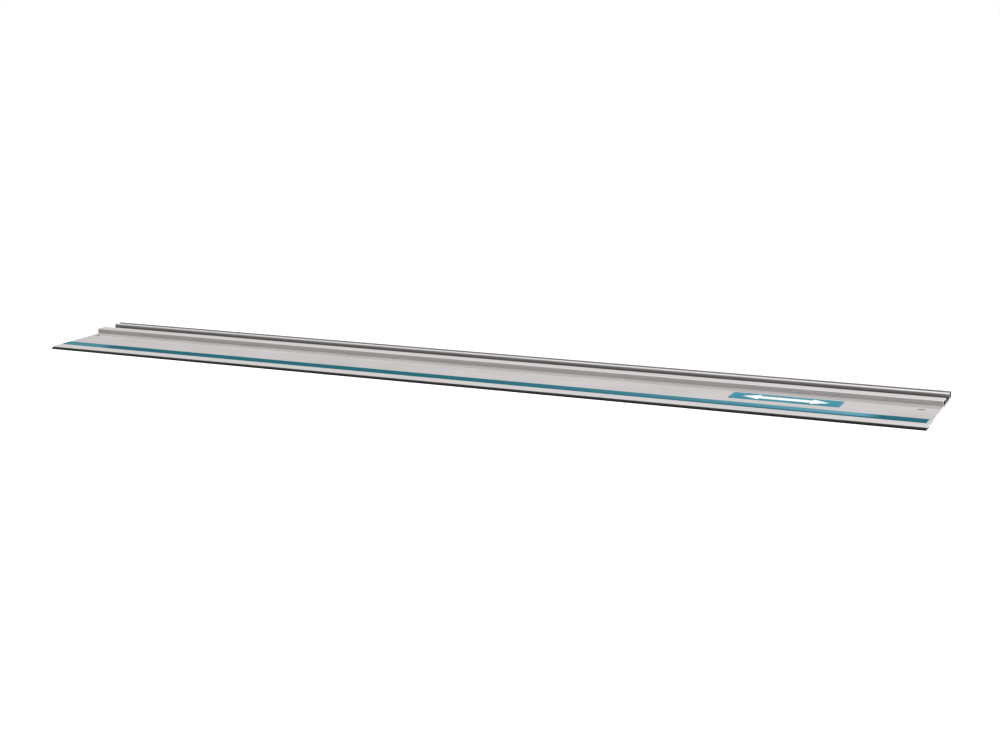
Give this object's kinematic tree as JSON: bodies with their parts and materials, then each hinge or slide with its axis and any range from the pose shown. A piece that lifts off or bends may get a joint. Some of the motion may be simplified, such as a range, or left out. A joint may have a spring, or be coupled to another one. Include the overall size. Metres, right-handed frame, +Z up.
{
  "type": "plunge saw guide rail",
  "caption": "Long flat aluminium guide rail for a track plunge saw, with a hollow guide rib, a rear slotted rib, low-friction glide strips, foam grip strips and a rubber splinter guard.",
  "frame": {"origin": "centre of the rail's footprint, on the surface that it lies on", "axes": "+X along the rail towards the end that carries the label, +Y from the cutting edge to the back edge, +Z up"},
  "size_m": [1.4, 0.18, 0.0122],
  "materials": {
    "anodised_aluminium": "satin clear anodised, fine extrusion lines along the rail",
    "guard_rubber": "matte black rubber",
    "glide_plastic": "smooth low-friction teal tape",
    "channel_glide_plastic": "smooth low-friction dark grey tape",
    "grip_foam": "closed-cell foam, dark grey",
    "label_film": "printed teal film with a plain white double-headed arrow"
  },
  "bodies": {
    "root": {"rail_extrusion": "anodised_aluminium", "splinter_guard": "guard_rubber", "front_glide_strip": "glide_plastic", "rear_glide_strip": "channel_glide_plastic", "front_grip_strip": "grip_foam", "rear_grip_strip": "grip_foam", "label_panel": "label_film"}
  },
  "joints": []
}
